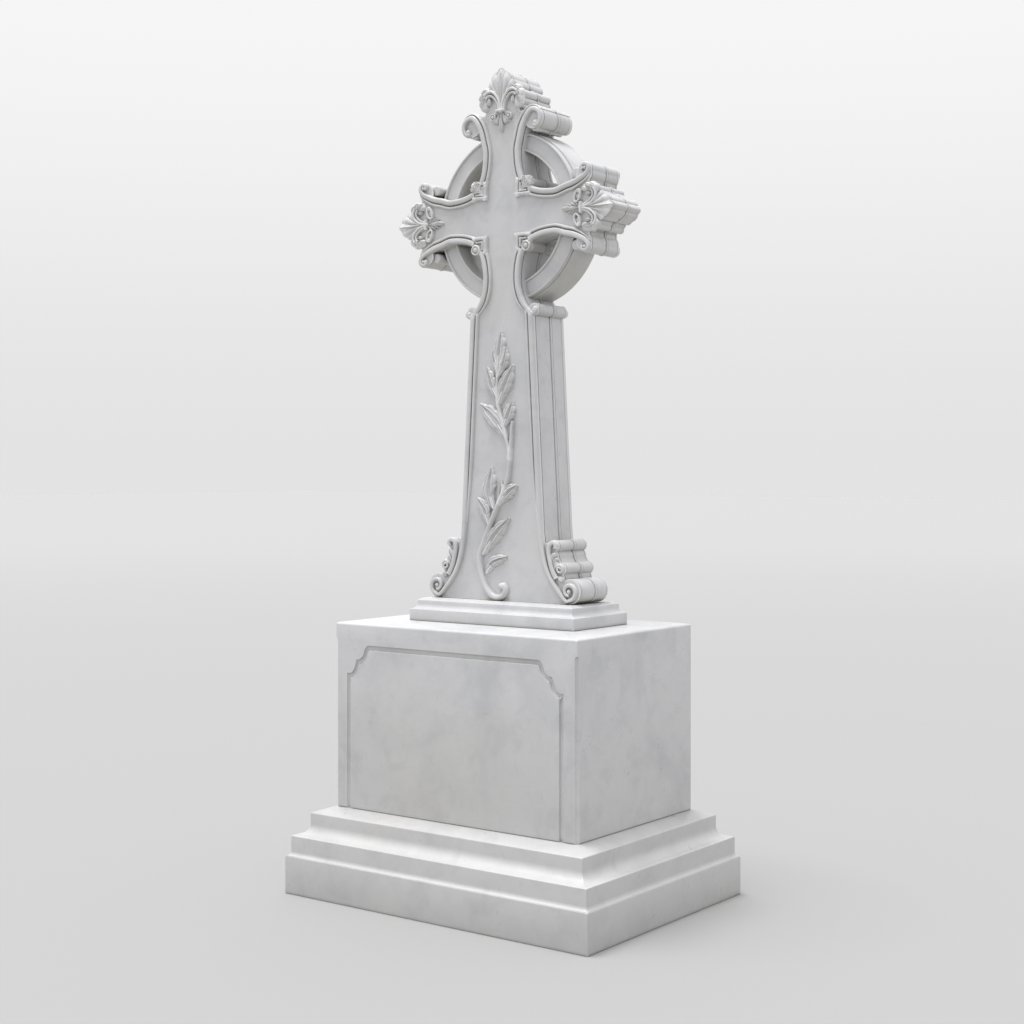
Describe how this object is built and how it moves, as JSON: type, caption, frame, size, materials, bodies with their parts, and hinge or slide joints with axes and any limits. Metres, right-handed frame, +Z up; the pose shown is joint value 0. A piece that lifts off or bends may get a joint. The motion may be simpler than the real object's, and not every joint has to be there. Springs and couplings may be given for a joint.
{
  "type": "celtic cross gravestone",
  "caption": "Marble cross headstone with a ring, scrolled and leaf-tipped arms, a leafy branch carved on its tapering shaft, a block die and a moulded base.",
  "frame": {"origin": "middle of the underside of the base", "axes": "+Z up, the carved front faces -Y, +X to the right seen from the front"},
  "size_m": [0.9, 0.667, 2.0203],
  "materials": {
    "base_marble": "honed, light grey",
    "die_marble": "honed, light grey with soft clouding",
    "plinth_marble": "honed, off-white",
    "cross_marble": "satin carved, off-white with light grime in the hollows"
  },
  "bodies": {
    "root": {"base": "base_marble", "die": "die_marble", "cross_plinth": "plinth_marble", "cross": "cross_marble"}
  },
  "joints": []
}
